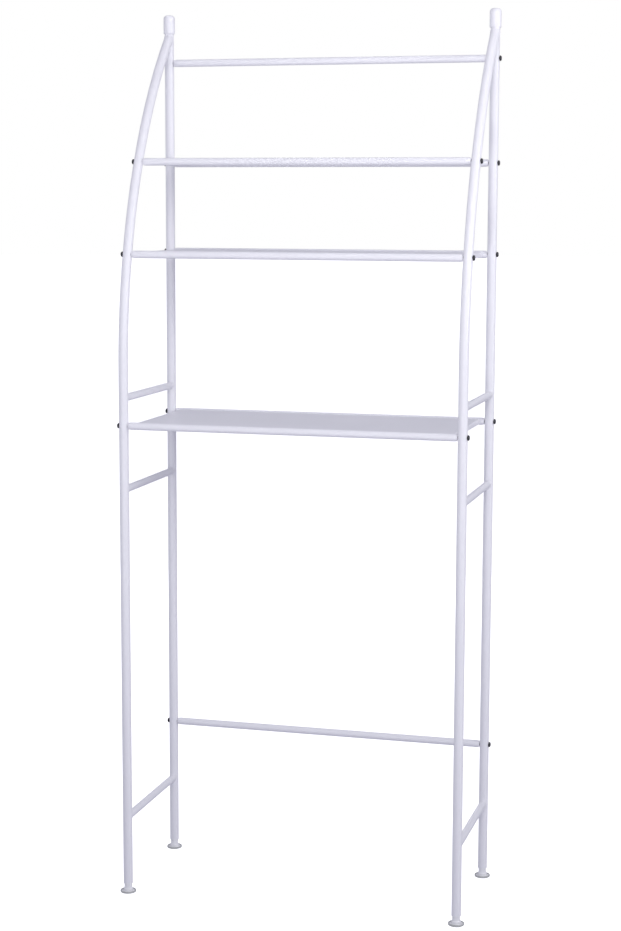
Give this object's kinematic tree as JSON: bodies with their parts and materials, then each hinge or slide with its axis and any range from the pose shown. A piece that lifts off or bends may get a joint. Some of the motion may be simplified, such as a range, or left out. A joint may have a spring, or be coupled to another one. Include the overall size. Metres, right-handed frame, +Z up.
{
  "type": "over the toilet storage rack",
  "caption": "Free-standing tubular steel rack that straddles a toilet, with shelves that get shallower upwards, curved front posts and screw-in levelling feet.",
  "frame": {"origin": "on the floor, midway between the four feet", "axes": "+Z up, -Y the front of the rack, +X to the right seen from the front"},
  "size_m": [0.6094, 0.2724, 1.52],
  "materials": {
    "white_powder_coat": "smooth semi-gloss white powder coat",
    "white_cap_plastic": "moulded white plastic",
    "foot_plastic": "moulded pale grey plastic",
    "black_screw": "black-oxide screw heads",
    "zinc_plated_steel": "bright zinc plating"
  },
  "bodies": {
    "root": {"left_lower_front_leg": "white_powder_coat", "left_lower_rear_leg": "white_powder_coat", "left_upper_front_post": "white_powder_coat", "left_upper_rear_post": "white_powder_coat", "left_foot_rung": "white_powder_coat", "left_lower_rung": "white_powder_coat", "left_upper_rung": "white_powder_coat", "left_top_cap": "white_cap_plastic", "right_lower_front_leg": "white_powder_coat", "right_lower_rear_leg": "white_powder_coat", "right_upper_front_post": "white_powder_coat", "right_upper_rear_post": "white_powder_coat", "right_foot_rung": "white_powder_coat", "right_lower_rung": "white_powder_coat", "right_upper_rung": "white_powder_coat", "right_top_cap": "white_cap_plastic", "left_front_foot_insert": "foot_plastic", "left_rear_foot_insert": "foot_plastic", "right_front_foot_insert": "foot_plastic", "right_rear_foot_insert": "foot_plastic", "bottom_bar": "white_powder_coat", "bottom_bar_bushes": "zinc_plated_steel", "bottom_bar_screws": "black_screw", "top_bar": "white_powder_coat", "top_bar_bushes": "zinc_plated_steel", "top_bar_screws": "black_screw", "bottom_shelf_front_rail": "white_powder_coat", "bottom_shelf_rear_rail": "white_powder_coat", "bottom_shelf_panel": "white_powder_coat", "bottom_shelf_bushes": "zinc_plated_steel", "bottom_shelf_screws": "black_screw", "middle_shelf_front_rail": "white_powder_coat", "middle_shelf_rear_rail": "white_powder_coat", "middle_shelf_panel": "white_powder_coat", "middle_shelf_bushes": "zinc_plated_steel", "middle_shelf_screws": "black_screw", "top_shelf_front_rail": "white_powder_coat", "top_shelf_rear_rail": "white_powder_coat", "top_shelf_panel": "white_powder_coat", "top_shelf_bushes": "zinc_plated_steel", "top_shelf_screws": "black_screw"},
    "left_front_foot_pad": {"left_front_foot_pad": "foot_plastic"},
    "left_front_foot_stud": {"left_front_foot_stud": "zinc_plated_steel"},
    "left_rear_foot_pad": {"left_rear_foot_pad": "foot_plastic"},
    "left_rear_foot_stud": {"left_rear_foot_stud": "zinc_plated_steel"},
    "right_front_foot_pad": {"right_front_foot_pad": "foot_plastic"},
    "right_front_foot_stud": {"right_front_foot_stud": "zinc_plated_steel"},
    "right_rear_foot_pad": {"right_rear_foot_pad": "foot_plastic"},
    "right_rear_foot_stud": {"right_rear_foot_stud": "zinc_plated_steel"}
  },
  "joints": [
    {"name": "left_front_foot_height", "type": "slide", "parent": "root", "child": "left_front_foot_pad", "axis": [0, 0, -1], "range_m": [0, 0.012]},
    {"name": "left_front_foot_screw", "type": "hinge", "parent": "left_front_foot_pad", "child": "left_front_foot_stud", "pos_m": [-0.291, -0.1225, 0.01], "axis": [0, 0, -1], "range_deg": [0, 3450]},
    {"name": "left_rear_foot_height", "type": "slide", "parent": "root", "child": "left_rear_foot_pad", "axis": [0, 0, -1], "range_m": [0, 0.012]},
    {"name": "left_rear_foot_screw", "type": "hinge", "parent": "left_rear_foot_pad", "child": "left_rear_foot_stud", "pos_m": [-0.291, 0.1225, 0.01], "axis": [0, 0, -1], "range_deg": [0, 3450]},
    {"name": "right_front_foot_height", "type": "slide", "parent": "root", "child": "right_front_foot_pad", "axis": [0, 0, -1], "range_m": [0, 0.012]},
    {"name": "right_front_foot_screw", "type": "hinge", "parent": "right_front_foot_pad", "child": "right_front_foot_stud", "pos_m": [0.291, -0.1225, 0.01], "axis": [0, 0, -1], "range_deg": [0, 3450]},
    {"name": "right_rear_foot_height", "type": "slide", "parent": "root", "child": "right_rear_foot_pad", "axis": [0, 0, -1], "range_m": [0, 0.012]},
    {"name": "right_rear_foot_screw", "type": "hinge", "parent": "right_rear_foot_pad", "child": "right_rear_foot_stud", "pos_m": [0.291, 0.1225, 0.01], "axis": [0, 0, -1], "range_deg": [0, 3450]}
  ],
  "couplings": [
    {"joint": "left_front_foot_height", "follows": "left_front_foot_screw", "m_per_rad": 0.00019894},
    {"joint": "left_rear_foot_height", "follows": "left_rear_foot_screw", "m_per_rad": 0.00019894},
    {"joint": "right_front_foot_height", "follows": "right_front_foot_screw", "m_per_rad": 0.00019894},
    {"joint": "right_rear_foot_height", "follows": "right_rear_foot_screw", "m_per_rad": 0.00019894}
  ]
}
